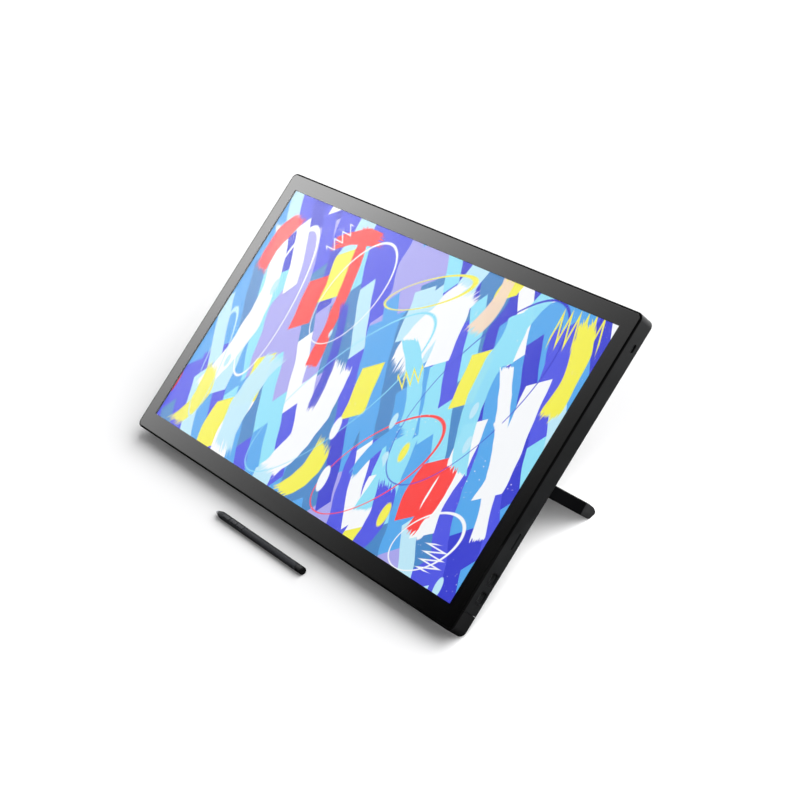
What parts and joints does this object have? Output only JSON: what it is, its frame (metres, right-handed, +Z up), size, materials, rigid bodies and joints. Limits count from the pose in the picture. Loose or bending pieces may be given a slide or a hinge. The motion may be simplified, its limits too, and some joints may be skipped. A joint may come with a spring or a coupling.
{
  "type": "pen drawing tablet",
  "caption": "Slim wide pen display leaning back on two fold-out legs, with a full-width foot strip, side sockets, and a battery-free pen lying in front of it.",
  "frame": {"origin": "on the desk, at the middle of the rubber foot under the display's bottom edge", "axes": "+X towards the right of a person drawing, +Y away from that person, +Z up"},
  "size_m": [0.564, 0.3455, 0.1548],
  "materials": {
    "screen_glass": "smooth bonded cover glass, black printed border",
    "housing": "fine matt moulded texture, charcoal",
    "leg_plastic": "matt moulded, near black",
    "foot_strip": "matt moulded, a shade darker than the housing",
    "rubber": "matt anti-slip rubber",
    "steel": "bright plated steel",
    "mount_steel": "black powder coat",
    "chassis_metal": "black anodised",
    "aluminium": "satin",
    "panel": "display cell",
    "film": "optical film and acrylic",
    "circuit_board": "glass-fibre board with green solder mask",
    "cable": "polyimide flat cable",
    "black_cable": "soft black jacket",
    "chip": "moulded component",
    "copper": "enamelled copper winding",
    "pen_body": "matt soft-touch",
    "pen_switch": "matt, a shade lighter than the barrel",
    "pen_tip": "light grey moulded",
    "pen_cap": "gloss black"
  },
  "bodies": {
    "display": {"cover_glass": "screen_glass", "glass_tape": "black_cable", "lcd_panel": "panel", "diffuser_sheet": "film", "light_guide": "film", "led_bar": "aluminium", "backlight_tray": "steel", "pen_sensor_board": "circuit_board", "shield_plate": "steel", "chassis": "chassis_metal", "rear_housing": "housing", "foot_strip": "foot_strip", "edge_foot": "rubber", "cover_screw_1": "steel", "cover_screw_2": "steel", "cover_screw_3": "steel", "cover_screw_4": "steel", "vesa_plate": "mount_steel", "rear_foot_1": "rubber", "rear_foot_2": "rubber", "rear_foot_3": "rubber", "rear_foot_4": "rubber", "port_bezel_upper": "housing", "port_bezel_lower": "housing", "usb_socket_upper": "steel", "usb_socket_lower": "steel", "port_board": "circuit_board", "lock_bracket": "steel", "main_board": "circuit_board", "processor_can": "steel", "heat_spreader": "aluminium", "panel_driver_board": "circuit_board", "panel_cable": "cable", "sensor_cable": "cable", "port_cable": "black_cable", "power_cable": "black_cable", "power_switch": "chip", "power_board": "circuit_board", "power_light_pipe": "film", "leg_pin_right": "steel", "leg_pin_left": "steel", "leg_bracket_right": "mount_steel", "leg_bracket_left": "mount_steel"},
    "power_button": {"power_button": "housing"},
    "right_leg": {"leg_right": "leg_plastic", "leg_foot_right": "rubber"},
    "left_leg": {"leg_left": "leg_plastic", "leg_foot_left": "rubber"},
    "pen": {"pen_barrel": "pen_body", "pen_tip_cone": "pen_tip", "pen_core_board": "circuit_board", "pen_coil": "copper", "pen_pressure_sensor": "chip", "pen_tail_cap": "pen_cap"},
    "pen_nib": {"pen_nib": "pen_tip"},
    "front_switch": {"pen_switch_front": "pen_switch"},
    "middle_switch": {"pen_switch_middle": "pen_switch"},
    "rear_switch": {"pen_switch_rear": "pen_switch"}
  },
  "joints": [
    {"name": "right_leg_fold", "type": "hinge", "parent": "display", "child": "right_leg", "pos_m": [0.2418, 0.13996, 0.06632], "axis": [1, 0, 0], "range_deg": [-94.5, 0]},
    {"name": "left_leg_fold", "type": "hinge", "parent": "display", "child": "left_leg", "pos_m": [-0.2418, 0.13996, 0.06632], "axis": [1, 0, 0], "range_deg": [-94.5, 0]},
    {"name": "power_press", "type": "slide", "parent": "display", "child": "power_button", "axis": [0, -0.9135, -0.4067], "range_m": [0, 0.0006], "stiffness_N_per_m": 800},
    {"name": "pen_lift", "type": "slide", "parent": "display", "child": "pen", "axis": [0, 0, 1], "range_m": [0, 0.12]},
    {"name": "nib_press", "type": "slide", "parent": "pen", "child": "pen_nib", "axis": [1, 0, 0], "range_m": [0, 0.0006], "stiffness_N_per_m": 600},
    {"name": "front_switch_press", "type": "slide", "parent": "pen", "child": "front_switch", "axis": [0, 0, -1], "range_m": [0, 0.0003], "stiffness_N_per_m": 2000},
    {"name": "middle_switch_press", "type": "slide", "parent": "pen", "child": "middle_switch", "axis": [0, 0, -1], "range_m": [0, 0.0003], "stiffness_N_per_m": 2000},
    {"name": "rear_switch_press", "type": "slide", "parent": "pen", "child": "rear_switch", "axis": [0, 0, -1], "range_m": [0, 0.0003], "stiffness_N_per_m": 2000}
  ]
}
